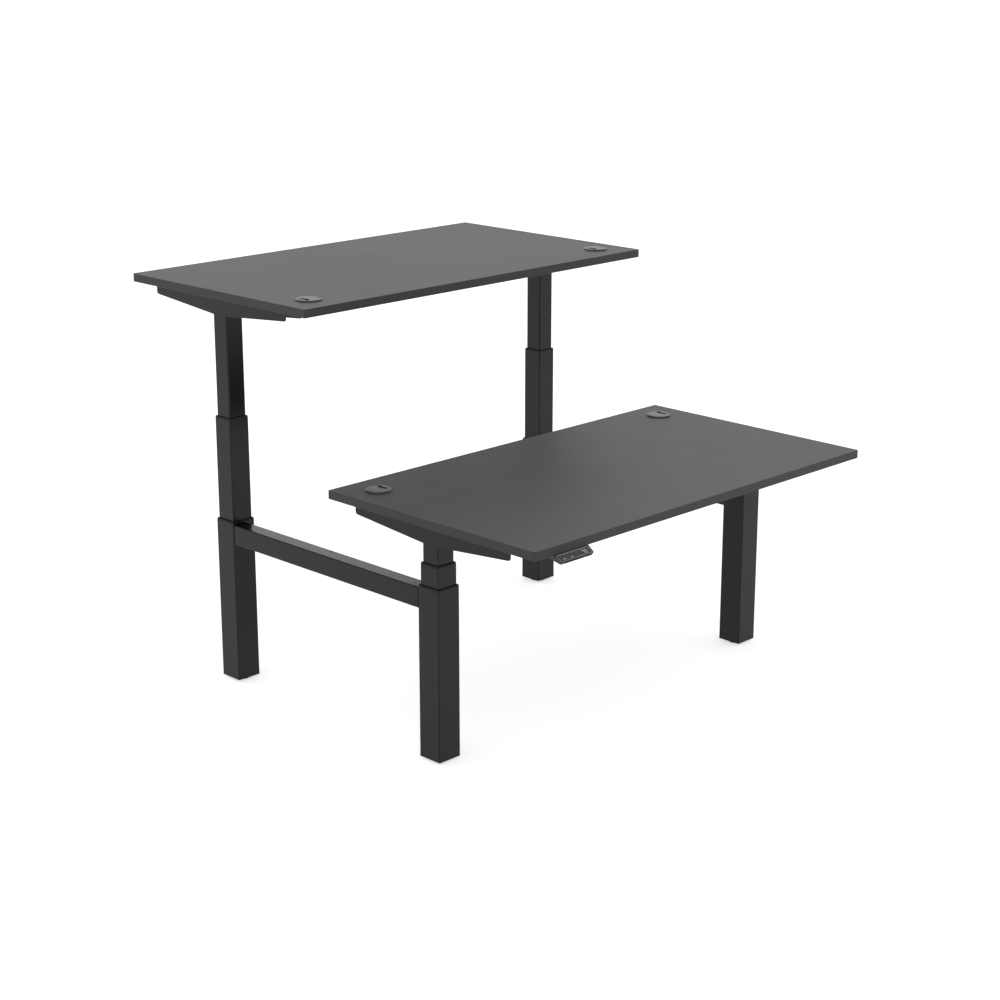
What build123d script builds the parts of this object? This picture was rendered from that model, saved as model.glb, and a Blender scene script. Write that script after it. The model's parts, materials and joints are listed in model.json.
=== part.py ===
# A back-to-back pair of height-adjustable desks. Four three-stage telescopic legs stand on
# levelling feet, two side beams join each front leg to the rear leg behind it, and each pair of
# legs carries one desktop of its own. The rear desk is the front desk turned half round.
#
# Millimetres, +Z up, origin on the floor midway between the two desks. Each desk has its own
# plane on the floor, in which its user stands at -Y, and its left and right are that user's.
from build123d import *

from math import cos, radians, sin, tan
import os

# desktops
top_length = 1400.0
top_depth = 800.0
top_thickness = 25.0
top_corner = 5.0
desk_gap = 80.0
top_height = {"front": 700.0, "rear": 1200.0}
lowest_height = 645.0
edge_round = 1.0

# telescopic legs: three square tubes, the largest at the floor
column_x = 656.0
column_y = (desk_gap + top_depth) / 2
outer_size = 80.0
middle_size = 70.0
inner_size = 60.0
tube_wall = 2.0
tube_corner = 4.0
leg_bottom = 8.0
stage_length = 500.0
stage_step = 36.5
collar_height = 5.0
collar_inset = 0.5
glide_depth = 70.0
slide_gap = 0.3

# spindle drive inside each leg
base_plate = 6.0
floor_screw_radius = 8.0
floor_screw_bore = 5.2
floor_screw_length = 470.0
floor_flange_radius = 18.0
floor_flange = 4.0
drive_tube_radius = 13.0
drive_tube_length = 512.0
drive_cap = 10.0
shaft_radius = 4.5
shaft_length = 430.0
nut_height = 14.0

# levelling feet
foot_radius = 27.5
foot_thickness = 5.0
foot_boss_radius = 9.0
foot_boss = 2.5
stud_radius = 4.0
stud_length = 20.0

# side beams
beam_width = 50.0
beam_height = 60.0
beam_bottom = 440.0
beam_seam = 5.0
beam_fit = 0.2
stub_wall = 3.0
stub_length = 60.0
stub_gap = 0.3
beam_screw_spacing = 30.0
beam_screw_inset = 15.0
beam_hole_radius = 4.0
beam_hole_offset = 13.0

# brackets, rails and fixings under each desktop
bracket_length = 600.0
bracket_depth = 49.0
bracket_tip = 25.0
bracket_corner = 8.0
bracket_sheet = 2.5
foot_plate = 4.0
foot_plate_length = 90.0
rail_width = 40.0
rail_height = 25.0
rail_sheet = 2.0
rail_offset = 130.0
bracket_screw_pitch = 170.0
rail_screw_pitch = 280.0
wood_screw_radius = 2.5
wood_screw_length = 16.0
screw_head_radius = 5.0
screw_head = 3.0
screw_play = 0.2

# gearmotors and control box
gearbox_length = 84.0
gearbox_height = 38.0
gearbox_width = 54.0
motor_radius = 20.0
motor_length = 115.0
motor_drop = 26.0
control_length = 240.0
control_width = 110.0
control_height = 34.0
control_x = 160.0

# cable grommets
grommet_x = 600.0
grommet_inset = 100.0
grommet_flange_radius = 38.0
grommet_flange = 4.5
grommet_hole_radius = 30.0
grommet_sleeve = 22.0
cap_radius = 35.0
cap_thickness = 2.5
cap_skirt_radius = 27.4
cap_skirt = 9.0
cap_wall = 2.0
slot_pivot = (45.0, 3.0)
slot_radius = 30.0
slot_width = 8.0
slot_half_angle = 28.0
ledge_height = 2.2

# handset under the front edge
handset_width = 125.0
handset_flare = 4.0
handset_x = -565.0
handset_reach = 26.0
handset_tilt = 28.0
handset_thickness = 7.0
handset_base = 40.0
handset_corner = 8.0
face_recess = 0.6
face_border = 3.0
pocket_depth = 3.2
key_height = 3.1
key_travel = 0.6
key_play = 0.3
display_size = (44.0, 15.0)
display_place = (32.0, -1.0)
display_recess = 0.4
big_key = (22.0, 8.0)
small_key = (9.0, 4.6)
keys = {
    "up_button": (-41.5, -5.5, big_key),
    "down_button": (-14.5, -5.5, big_key),
    "memory_button_1": (-46.0, 6.5, small_key),
    "memory_button_2": (-33.0, 6.5, small_key),
    "memory_button_3": (-20.0, 6.5, small_key),
    "save_button": (-7.0, 6.5, small_key),
}

desks = {"front": Plane.XY, "rear": Plane.XY.rotated((0, 0, 180))}
sides = {"left": -1, "right": 1}
travel_from_lowest = {desk: top_height[desk] - lowest_height for desk in desks}
beam_x = column_x + (outer_size - beam_width) / 2
outer_top = leg_bottom + stage_length
grommet_y = -(desk_gap / 2 + grommet_inset)
front_edge_y = -(desk_gap / 2 + top_depth)
slot_spread = tan(radians(slot_half_angle))
handset_fall = tan(radians(handset_tilt))
handset_sine = sin(radians(handset_tilt))
handset_cosine = cos(radians(handset_tilt))


def level(desk, x, y, z):
    """A level plane at a point given in the desk's own frame."""
    place = desks[desk].from_local_coords((x, y, z))
    return Plane(place, x_dir=desks[desk].x_dir, z_dir=desks[desk].z_dir)


def side_view(desk, x, y, z):
    """An upright plane facing the desk's right: sketch x runs to the back, sketch y up."""
    place = desks[desk].from_local_coords((x, y, z))
    return Plane(place, x_dir=desks[desk].y_dir, z_dir=desks[desk].x_dir)


def underside(desk):
    return top_height[desk] - top_thickness


def middle_bottom(desk):
    """The foot of the middle tube, which climbs half as far as the desktop does."""
    return outer_top + stage_step + travel_from_lowest[desk] / 2 - stage_length


def inner_bottom(desk):
    return underside(desk) - bracket_depth - stage_length


def save(piece, name):
    piece.part.label = name
    export_step(piece.part, f"parts/{name}.step")


def tube_profile(size, wall):
    """A square tube's section, drawn in the sketch that is open."""
    RectangleRounded(size, size, tube_corner)
    RectangleRounded(size - 2 * wall, size - 2 * wall, tube_corner - wall, mode=Mode.SUBTRACT)


def make_outer_column(desk, side):
    bottom = level(desk, sides[side] * column_x, -column_y, leg_bottom)
    with BuildPart() as outer_column:
        with BuildSketch(bottom):
            tube_profile(outer_size, tube_wall)
        extrude(amount=stage_length - collar_height)
        with BuildSketch(bottom):
            Rectangle(outer_size - tube_wall, outer_size - tube_wall)
            Circle(stud_radius + slide_gap, mode=Mode.SUBTRACT)
        extrude(amount=base_plate)
    save(outer_column, f"{desk}_{side}_outer_column")


def make_middle_column(desk, side):
    """The middle tube, with the plate at its foot that carries the drive tube."""
    bottom = level(desk, sides[side] * column_x, -column_y, middle_bottom(desk))
    with BuildPart() as middle_column:
        with BuildSketch(bottom):
            tube_profile(middle_size, tube_wall)
        extrude(amount=stage_length - collar_height)
        with BuildSketch(bottom):
            Rectangle(middle_size - tube_wall, middle_size - tube_wall)
            Circle(floor_screw_radius + 2 * slide_gap, mode=Mode.SUBTRACT)
        extrude(amount=base_plate)
    save(middle_column, f"{desk}_{side}_middle_column")


def make_inner_column(desk, side):
    """The inner tube, with the nut at its foot that climbs the drive tube."""
    bottom = level(desk, sides[side] * column_x, -column_y, inner_bottom(desk))
    with BuildPart() as inner_column:
        with BuildSketch(bottom):
            tube_profile(inner_size, tube_wall)
        extrude(amount=stage_length)
        with BuildSketch(bottom):
            Rectangle(inner_size - tube_wall, inner_size - tube_wall)
            Circle(drive_tube_radius + slide_gap, mode=Mode.SUBTRACT)
        extrude(amount=nut_height)
    save(inner_column, f"{desk}_{side}_inner_column")


def make_glides(name, size, inner, mouths):
    """A plastic collar on each tube mouth, with a sleeve down the gap to the next tube."""
    collar = size - 2 * collar_inset
    sleeve = size - 2 * tube_wall - slide_gap
    opening = inner + 2 * slide_gap
    with BuildPart() as glides:
        with BuildSketch(*mouths):
            RectangleRounded(collar, collar, tube_corner)
            RectangleRounded(opening, opening, tube_corner, mode=Mode.SUBTRACT)
        extrude(amount=-collar_height)
        with BuildSketch(*[mouth.offset(-collar_height) for mouth in mouths]):
            RectangleRounded(sleeve, sleeve, tube_corner - tube_wall)
            RectangleRounded(opening, opening, tube_corner, mode=Mode.SUBTRACT)
        extrude(amount=-glide_depth)
    save(glides, name)


def tube_mouths(desk, z):
    return [level(desk, sides[side] * column_x, -column_y, z) for side in sides]


def make_floor_screws():
    """Hollow screws that stand on the base plates; the drive tubes climb them."""
    with BuildPart() as floor_screws:
        with BuildSketch(Plane.XY.offset(leg_bottom + base_plate)):
            with GridLocations(2 * column_x, 2 * column_y, 2, 2):
                Circle(floor_flange_radius)
                Circle(floor_screw_bore, mode=Mode.SUBTRACT)
        extrude(amount=floor_flange)
        with BuildSketch(Plane.XY.offset(leg_bottom + base_plate)):
            with GridLocations(2 * column_x, 2 * column_y, 2, 2):
                Circle(floor_screw_radius)
                Circle(floor_screw_bore, mode=Mode.SUBTRACT)
        extrude(amount=floor_screw_length)
    save(floor_screws, "floor_screws")


def make_drive_tubes(desk):
    """Tubes that the gearmotor shafts turn: nuts on the floor screws, screws in the inner nuts."""
    bottom = level(desk, 0, -column_y, middle_bottom(desk) + base_plate)
    with BuildPart() as drive_tubes:
        with BuildSketch(bottom):
            with GridLocations(2 * column_x, 1, 2, 1):
                Circle(drive_tube_radius)
                Circle(floor_screw_radius + slide_gap, mode=Mode.SUBTRACT)
        extrude(amount=drive_tube_length)
        with BuildSketch(bottom.offset(drive_tube_length)):
            with GridLocations(2 * column_x, 1, 2, 1):
                Circle(drive_tube_radius)
                Circle(shaft_radius + slide_gap, mode=Mode.SUBTRACT)
        extrude(amount=-drive_cap)
    save(drive_tubes, f"{desk}_drive_tubes")


def make_foot(desk, side):
    axis = level(desk, sides[side] * column_x, -column_y, 0)
    with BuildPart() as foot:
        with BuildSketch(axis):
            Circle(foot_radius)
        extrude(amount=foot_thickness)
        fillet(foot.edges().sort_by(Axis.Z)[-1], radius=2)
        chamfer(foot.edges().sort_by(Axis.Z)[0], length=0.8)
        with BuildSketch(axis.offset(foot_thickness)):
            RegularPolygon(foot_boss_radius, 6)
        extrude(amount=foot_boss)
        with BuildSketch(axis.offset(foot_thickness + foot_boss)):
            Circle(stud_radius)
        extrude(amount=stud_length)
    save(foot, f"{desk}_{side}_foot")


def beam_screw_planes(side):
    """Planes on a beam's inner face, facing inwards, one at each end of the beam."""
    x = sides[side] * (beam_x - beam_width / 2)
    y = column_y - outer_size / 2 - beam_seam - beam_screw_inset - beam_screw_spacing / 2
    z = beam_bottom + beam_height / 2
    return [Plane((x, end * y, z), x_dir=(0, 1, 0), z_dir=(-sides[side], 0, 0)) for end in (-1, 1)]


def make_side_beam(side):
    """A tube over the stubs of two legs, tight to the front leg and a seam short of the rear one."""
    reach = column_y - outer_size / 2
    with BuildPart() as side_beam:
        with BuildSketch(Plane.XZ.offset(reach - beam_fit)):
            with Locations((sides[side] * beam_x, beam_bottom + beam_height / 2)):
                RectangleRounded(beam_width, beam_height, tube_corner)
                RectangleRounded(beam_width - 2 * tube_wall, beam_height - 2 * tube_wall,
                                 tube_corner - tube_wall, mode=Mode.SUBTRACT)
        extrude(amount=-(2 * reach - beam_fit - beam_seam))
        with BuildSketch(Plane.XY.offset(beam_bottom + beam_height)):
            with Locations((sides[side] * (beam_x - beam_hole_offset), 0)):
                Circle(beam_hole_radius)
        extrude(amount=-2 * tube_wall, mode=Mode.SUBTRACT)
        with BuildSketch(*beam_screw_planes(side)):
            with GridLocations(beam_screw_spacing, 1, 2, 1):
                Circle(wood_screw_radius + screw_play)
        extrude(amount=-2 * tube_wall, mode=Mode.SUBTRACT)
    save(side_beam, f"{side}_side_beam")


def make_beam_stubs():
    """Short tubes welded to the legs, which the ends of the beams slide over."""
    stub_width = beam_width - 2 * tube_wall - 2 * stub_gap
    stub_height = beam_height - 2 * tube_wall - 2 * stub_gap
    with BuildPart() as beam_stubs:
        with BuildSketch(Plane.XZ.offset(column_y - outer_size / 2)):
            with Locations(*[(s * beam_x, beam_bottom + beam_height / 2) for s in sides.values()]):
                RectangleRounded(stub_width, stub_height, tube_corner)
                Rectangle(stub_width - 2 * stub_wall, stub_height - 2 * stub_wall,
                          mode=Mode.SUBTRACT)
        extrude(amount=-stub_length)
        for side in sides:
            with BuildSketch(*beam_screw_planes(side)):
                with GridLocations(beam_screw_spacing, 1, 2, 1):
                    Circle(wood_screw_radius + screw_play)
            extrude(amount=-(2 * tube_wall + stub_wall), mode=Mode.SUBTRACT)
        mirror(about=Plane.XZ)
    save(beam_stubs, "beam_stubs")


def make_beam_screws():
    with BuildPart() as beam_screws:
        for side in sides:
            with BuildSketch(*beam_screw_planes(side)):
                with GridLocations(beam_screw_spacing, 1, 2, 1):
                    Circle(screw_head_radius)
            extrude(amount=screw_head)
            with BuildSketch(*beam_screw_planes(side)):
                with GridLocations(beam_screw_spacing, 1, 2, 1):
                    Circle(wood_screw_radius)
            extrude(amount=-(2 * tube_wall + stub_wall))
    save(beam_screws, "beam_screws")


def make_bracket(desk, side):
    """A folded channel, open at its ends, with a plate inside that stands on the leg."""
    x = sides[side] * column_x
    half = bracket_length / 2
    flat = inner_size / 2
    outline = side_view(desk, x, -column_y, underside(desk))
    inward = Plane(desks[desk].from_local_coords((x, -column_y, underside(desk) - motor_drop)),
                   x_dir=desks[desk].y_dir, z_dir=desks[desk].x_dir * -sides[side])
    with BuildPart() as bracket:
        with BuildSketch(outline):
            Polygon((-half, 0), (-half, -bracket_tip), (-flat, -bracket_depth),
                    (flat, -bracket_depth), (half, -bracket_tip), (half, 0), align=None)
        extrude(amount=inner_size / 2, both=True)
        tips = bracket.edges().filter_by(Axis.X).group_by(Axis.Z)[1]
        fillet(tips, radius=bracket_corner)
        with BuildSketch(outline):
            with Locations((0, -bracket_sheet)):
                Rectangle(bracket_length + 2 * bracket_sheet, bracket_depth,
                          align=(Align.CENTER, Align.MAX))
        extrude(amount=inner_size / 2 - bracket_sheet, both=True, mode=Mode.SUBTRACT)
        with BuildSketch(level(desk, x, -column_y, underside(desk) - bracket_depth)):
            Rectangle(inner_size - 2 * bracket_sheet, foot_plate_length)
            Circle(floor_screw_radius, mode=Mode.SUBTRACT)
        extrude(amount=foot_plate)
        with BuildSketch(inward):
            Circle(motor_radius + slide_gap)
        extrude(amount=inner_size / 2 + slide_gap, mode=Mode.SUBTRACT)
        with BuildSketch(level(desk, x, -column_y, underside(desk))):
            with GridLocations(1, bracket_screw_pitch, 1, 4):
                Circle(wood_screw_radius + screw_play)
        extrude(amount=-bracket_sheet, mode=Mode.SUBTRACT)
    save(bracket, f"{desk}_{side}_bracket")


def make_cross_rails(desk):
    """Two folded channels, open below, from one bracket to the other."""
    length = 2 * column_x - inner_size
    with BuildPart() as cross_rails:
        with BuildSketch(side_view(desk, 0, -column_y, underside(desk))):
            with GridLocations(2 * rail_offset, 1, 2, 1):
                Rectangle(rail_width, rail_height, align=(Align.CENTER, Align.MAX))
            with Locations(*[(y, -rail_sheet) for y in (-rail_offset, rail_offset)]):
                Rectangle(rail_width - 2 * rail_sheet, rail_height,
                          align=(Align.CENTER, Align.MAX), mode=Mode.SUBTRACT)
        extrude(amount=length / 2, both=True)
        with BuildSketch(level(desk, 0, -column_y, underside(desk))):
            with GridLocations(rail_screw_pitch, 2 * rail_offset, 4, 2):
                Circle(wood_screw_radius + screw_play)
        extrude(amount=-rail_sheet, mode=Mode.SUBTRACT)
    save(cross_rails, f"{desk}_cross_rails")


def make_desktop_screws(desk):
    """Wood screws that point up through the brackets and the rails."""
    grids = {
        bracket_sheet: (2 * column_x, bracket_screw_pitch, 2, 4),
        rail_sheet: (rail_screw_pitch, 2 * rail_offset, 4, 2),
    }
    with BuildPart() as desktop_screws:
        for sheet, grid in grids.items():
            head_level = level(desk, 0, -column_y, underside(desk) - sheet)
            with BuildSketch(head_level):
                with GridLocations(*grid):
                    Circle(screw_head_radius)
            extrude(amount=-screw_head)
            with BuildSketch(head_level):
                with GridLocations(*grid):
                    Circle(wood_screw_radius)
            extrude(amount=wood_screw_length)
    save(desktop_screws, f"{desk}_desktop_screws")


def make_desktop(desk):
    """The laminated board, bored for its two grommets and piloted for its screws."""
    bottom = level(desk, 0, -column_y, underside(desk))
    with BuildPart() as desktop:
        with BuildSketch(bottom):
            RectangleRounded(top_length, top_depth, top_corner)
        extrude(amount=top_thickness)
        fillet(desktop.edges(), radius=edge_round)
        with BuildSketch(level(desk, 0, grommet_y, underside(desk))):
            with GridLocations(2 * grommet_x, 1, 2, 1):
                Circle(grommet_hole_radius)
        extrude(amount=top_thickness, mode=Mode.SUBTRACT)
        with BuildSketch(bottom):
            with GridLocations(2 * column_x, bracket_screw_pitch, 2, 4):
                Circle(wood_screw_radius + screw_play)
            with GridLocations(rail_screw_pitch, 2 * rail_offset, 4, 2):
                Circle(wood_screw_radius + screw_play)
        extrude(amount=wood_screw_length, mode=Mode.SUBTRACT)
    save(desktop, f"{desk}_desktop")


def make_gearmotors(desk):
    """A gearbox inside each bracket, its motor pointing inwards and its shaft down the leg."""
    foot = underside(desk) - bracket_depth + foot_plate
    with BuildPart() as gearmotors:
        with BuildSketch(level(desk, 0, -column_y, foot)):
            with GridLocations(2 * column_x, 1, 2, 1):
                RectangleRounded(gearbox_width, gearbox_length, tube_corner)
        extrude(amount=gearbox_height)
        for side in sides.values():
            x = side * (column_x - gearbox_width / 2)
            with BuildSketch(side_view(desk, x, -column_y, underside(desk) - motor_drop)):
                Circle(motor_radius)
            extrude(amount=-side * motor_length)
        motor_ends = gearmotors.faces().sort_by(lambda face: abs(face.center().X))[:2]
        chamfer(motor_ends.edges(), length=2)
        with BuildSketch(level(desk, 0, -column_y, foot)):
            with GridLocations(2 * column_x, 1, 2, 1):
                Circle(shaft_radius)
        extrude(amount=-shaft_length)
    save(gearmotors, f"{desk}_gearmotors")


def make_control_box(desk):
    with BuildPart() as control_box:
        with BuildSketch(level(desk, control_x, -column_y, underside(desk))):
            RectangleRounded(control_length, control_width, 2 * tube_corner)
        extrude(amount=-control_height)
        fillet(control_box.faces().sort_by(Axis.Z)[0].edges(), radius=tube_corner)
    save(control_box, f"{desk}_control_box")


def make_grommet_rings(desk):
    """Flanged rings that line the cable holes, with a ledge that the caps turn on."""
    top = level(desk, 0, grommet_y, top_height[desk])
    with BuildPart() as grommet_rings:
        with BuildSketch(top):
            with GridLocations(2 * grommet_x, 1, 2, 1):
                Circle(grommet_flange_radius)
                Circle(cap_radius + slide_gap, mode=Mode.SUBTRACT)
        extrude(amount=grommet_flange)
        rims = grommet_rings.edges().group_by(Axis.Z)[-1]
        chamfer(rims.filter_by(lambda edge: edge.radius > cap_radius + 1), length=1.2)
        with BuildSketch(top):
            with GridLocations(2 * grommet_x, 1, 2, 1):
                Circle(cap_radius + cap_wall)
                Circle(cap_skirt_radius + slide_gap, mode=Mode.SUBTRACT)
        extrude(amount=ledge_height)
        with BuildSketch(top.offset(ledge_height)):
            with GridLocations(2 * grommet_x, 1, 2, 1):
                Circle(grommet_hole_radius - slide_gap)
                Circle(cap_skirt_radius + slide_gap, mode=Mode.SUBTRACT)
        extrude(amount=-grommet_sleeve - ledge_height)
    save(grommet_rings, f"{desk}_grommet_rings")


def make_grommet_cap(desk, side):
    """A turning cap on a skirt, with a curved slot for cables cut through both."""
    ledge = level(desk, sides[side] * grommet_x, grommet_y, top_height[desk] + ledge_height)
    with BuildPart() as grommet_cap:
        with BuildSketch(ledge):
            Circle(cap_radius)
        extrude(amount=cap_thickness)
        chamfer(grommet_cap.edges().sort_by(Axis.Z)[-1], length=0.6)
        with BuildSketch(ledge):
            Circle(cap_skirt_radius)
            Circle(cap_skirt_radius - cap_wall, mode=Mode.SUBTRACT)
        extrude(amount=-cap_skirt)
        pivot = (sides[side] * grommet_x + slot_pivot[0], grommet_y + slot_pivot[1])
        with BuildSketch(level(desk, *pivot, top_height[desk] + ledge_height - cap_skirt)):
            Circle(slot_radius + slot_width / 2)
            Circle(slot_radius - slot_width / 2, mode=Mode.SUBTRACT)
            reach = 2 * slot_radius
            Polygon((0, 0), (-reach, -reach * slot_spread), (-reach, reach * slot_spread),
                    align=None, mode=Mode.INTERSECT)
            start = 180 - slot_half_angle
            with PolarLocations(slot_radius, 2, start, 2 * slot_half_angle, endpoint=True):
                Circle(slot_width / 2)
        extrude(amount=cap_skirt + cap_thickness, mode=Mode.SUBTRACT)
    save(grommet_cap, f"{desk}_{side}_grommet_cap")


def handset_face(desk):
    """The plane of the handset's sloping face, at its middle."""
    frame, half = desks[desk], handset_reach / 2
    middle = (handset_x, front_edge_y - half, underside(desk) - half * handset_fall)
    normal = frame.z_dir * handset_cosine - frame.y_dir * handset_sine
    return Plane(frame.from_local_coords(middle), x_dir=frame.x_dir, z_dir=normal)


def make_handset(desk):
    """A sloping key panel in front of the desktop's edge, with a base screwed up under it."""
    edge = side_view(desk, handset_x, front_edge_y, underside(desk))
    reach, fall = handset_reach, handset_reach * handset_fall
    face = handset_face(desk)
    face_depth = handset_reach / handset_cosine
    with BuildPart() as handset:
        with BuildSketch(edge):
            Polygon((0, 0), (-reach, -fall),
                    (-reach + handset_thickness * handset_sine,
                     -fall - handset_thickness * handset_cosine),
                    (handset_thickness, -handset_thickness - fall / 4),
                    (handset_base, -handset_thickness), (handset_base, 0), align=None)
        extrude(amount=handset_width / 2 + handset_flare, both=True)
        with BuildSketch(face):
            half, back, end = handset_width / 2, face_depth / 2, 2 * handset_base
            wide = half + handset_flare
            Polygon((-half, -back), (half, -back), (wide, back), (wide, end), (-wide, end), (-wide, back),
                    align=None)
        extrude(amount=handset_base, both=True, mode=Mode.INTERSECT)
        nose = handset.faces().filter_by(lambda f: f.normal_at().dot(face.y_dir) < -0.99)
        fillet(nose.edges().filter_by(Axis(face.origin, face.z_dir)), radius=handset_corner)
        with BuildSketch(face):
            RectangleRounded(handset_width - 2 * face_border, face_depth - 2 * face_border,
                             handset_corner - face_border)
        extrude(amount=-face_recess, mode=Mode.SUBTRACT)
        with BuildSketch(face.offset(-face_recess)):
            with Locations(display_place):
                RectangleRounded(*display_size, 1.5)
        extrude(amount=-display_recess, mode=Mode.SUBTRACT)
        for x, y, size in keys.values():
            with BuildSketch(face.offset(-face_recess)):
                with Locations((x, y)):
                    key_profile(size, key_play)
            extrude(amount=-pocket_depth, mode=Mode.SUBTRACT)
    save(handset, f"{desk}_handset")


def key_profile(size, play):
    RectangleRounded(size[0] + 2 * play, size[1] + 2 * play, size[1] / 2 - 0.2)


def make_key(desk, name):
    """A key that stands proud of the recess and travels into its pocket."""
    x, y, size = keys[name]
    top = handset_face(desk).offset(-face_recess - pocket_depth + key_height + key_travel)
    with BuildPart() as key:
        with BuildSketch(top):
            with Locations((x, y)):
                key_profile(size, 0)
        extrude(amount=-key_height)
    save(key, f"{desk}_{name}")


os.makedirs("parts", exist_ok=True)
for side in sides:
    make_side_beam(side)
make_beam_stubs()
make_beam_screws()
make_glides("outer_glides", outer_size, middle_size,
            [mouth for desk in desks for mouth in tube_mouths(desk, outer_top)])
make_floor_screws()
for desk in desks:
    make_desktop(desk)
    make_desktop_screws(desk)
    make_cross_rails(desk)
    make_gearmotors(desk)
    make_control_box(desk)
    make_grommet_rings(desk)
    make_handset(desk)
    make_glides(f"{desk}_middle_glides", middle_size, inner_size,
                tube_mouths(desk, middle_bottom(desk) + stage_length))
    make_drive_tubes(desk)
    for key_name in keys:
        make_key(desk, key_name)
    for side in sides:
        make_outer_column(desk, side)
        make_middle_column(desk, side)
        make_inner_column(desk, side)
        make_foot(desk, side)
        make_bracket(desk, side)
        make_grommet_cap(desk, side)
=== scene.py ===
import json
import math

import bmesh
import bpy
from mathutils import Matrix, Vector


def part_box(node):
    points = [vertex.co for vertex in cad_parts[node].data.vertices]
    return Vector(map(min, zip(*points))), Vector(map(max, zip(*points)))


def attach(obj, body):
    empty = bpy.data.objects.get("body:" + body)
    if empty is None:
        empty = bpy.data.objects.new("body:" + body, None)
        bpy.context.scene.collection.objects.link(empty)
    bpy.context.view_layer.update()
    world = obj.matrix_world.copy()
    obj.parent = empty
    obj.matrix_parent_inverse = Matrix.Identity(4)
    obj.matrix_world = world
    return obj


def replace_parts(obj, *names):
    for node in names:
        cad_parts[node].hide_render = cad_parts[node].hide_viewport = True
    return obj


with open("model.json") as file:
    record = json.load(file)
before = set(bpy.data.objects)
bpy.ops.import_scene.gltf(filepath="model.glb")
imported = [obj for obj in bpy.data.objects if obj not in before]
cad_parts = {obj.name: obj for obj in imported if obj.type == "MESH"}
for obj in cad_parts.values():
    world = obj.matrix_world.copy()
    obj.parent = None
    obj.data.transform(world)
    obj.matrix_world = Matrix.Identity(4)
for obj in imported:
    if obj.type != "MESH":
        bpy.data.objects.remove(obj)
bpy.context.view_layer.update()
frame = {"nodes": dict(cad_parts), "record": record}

nodes = frame["nodes"]
print("frame loaded:", len(nodes), "nodes")

deskNames = ("front", "rear")
sideNames = ("left", "right")
turns = {"front": Matrix.Identity(4), "rear": Matrix.Rotation(math.pi, 4, "Z")}
mm = 0.001


# shader groups: each gives colours, masks, values or normals

def newGroup(name, inputs, outputs):
    tree = bpy.data.node_groups.new(name, "ShaderNodeTree")
    for label, kind, value in inputs:
        socket = tree.interface.new_socket(label, in_out="INPUT", socket_type="NodeSocket" + kind)
        socket.default_value = value
    for label, kind in outputs:
        tree.interface.new_socket(label, in_out="OUTPUT", socket_type="NodeSocket" + kind)
    return tree, tree.nodes.new("NodeGroupInput"), tree.nodes.new("NodeGroupOutput")


def addNode(tree, kind, settings=None, **inputs):
    # inputs are values or sockets, named as the node's sockets are with _ for a space, or i0, i1, ...
    node = tree.nodes.new(kind)
    for name, value in (settings or {}).items():
        setattr(node, name, value)
    for name, value in inputs.items():
        socket = node.inputs[int(name[1:])] if name[1:].isdigit() else node.inputs[name.replace("_", " ")]
        if isinstance(value, bpy.types.NodeSocket):
            tree.links.new(value, socket)
        else:
            socket.default_value = value
    return node


def mathNode(tree, operation, first, second=0.0, clamp=False):
    settings = {"operation": operation, "use_clamp": clamp}
    return addNode(tree, "ShaderNodeMath", settings, i0=first, i1=second).outputs[0]


def mixColour(tree, factor, first, second):
    node = addNode(tree, "ShaderNodeMix", {"data_type": "RGBA"}, i0=factor, i6=first, i7=second)
    return node.outputs[2]


def noiseOf(tree, scale, detail=2.0):
    spot = addNode(tree, "ShaderNodeTexCoord").outputs["Object"]
    return addNode(tree, "ShaderNodeTexNoise", None, Vector=spot, Scale=scale, Detail=detail).outputs["Fac"]


def buildGrainGroup():
    # a fine raised texture with uneven gloss: powder coat, melamine, moulded plastic
    tree, put, out = newGroup(
        "fineGrain",
        [("Grains per metre", "Float", 900.0), ("Depth", "Float", 0.00002),
         ("Roughness", "Float", 0.5), ("Unevenness", "Float", 0.1)],
        [("Normal", "Vector"), ("Roughness", "Float")])
    fine = noiseOf(tree, put.outputs["Grains per metre"], 3.0)
    bump = addNode(tree, "ShaderNodeBump", None, Strength=1.0, Distance=put.outputs["Depth"], Height=fine)
    broad = noiseOf(tree, 7.0, 4.0)
    swing = mathNode(tree, "MULTIPLY", mathNode(tree, "SUBTRACT", broad, 0.5), put.outputs["Unevenness"])
    rough = mathNode(tree, "ADD", put.outputs["Roughness"], swing, clamp=True)
    tree.links.new(bump.outputs["Normal"], out.inputs["Normal"])
    tree.links.new(rough, out.inputs["Roughness"])
    return tree


def buildWearGroup():
    # paint rubbed a little brighter along convex edges, broken up by noise
    tree, put, out = newGroup(
        "wornEdges",
        [("Colour", "Color", (0.1, 0.1, 0.1, 1)), ("Worn colour", "Color", (0.3, 0.3, 0.3, 1)),
         ("Width", "Float", 0.0015), ("Amount", "Float", 0.5)],
        [("Colour", "Color"), ("Mask", "Float")])
    soft = addNode(tree, "ShaderNodeBevel", {"samples": 4}, Radius=put.outputs["Width"])
    flat = addNode(tree, "ShaderNodeNewGeometry").outputs["Normal"]
    along = addNode(tree, "ShaderNodeVectorMath", {"operation": "DOT_PRODUCT"}, i0=soft.outputs["Normal"],
                    i1=flat)
    turned = mathNode(tree, "SUBTRACT", 1.0, along.outputs["Value"])
    edge = mathNode(tree, "MULTIPLY", turned, 4.0, clamp=True)
    broken = mathNode(tree, "MULTIPLY", edge, noiseOf(tree, 60.0, 5.0))
    mask = mathNode(tree, "MULTIPLY", broken, put.outputs["Amount"], clamp=True)
    tree.links.new(mixColour(tree, mask, put.outputs["Colour"], put.outputs["Worn colour"]),
                   out.inputs["Colour"])
    tree.links.new(mask, out.inputs["Mask"])
    return tree


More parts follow.
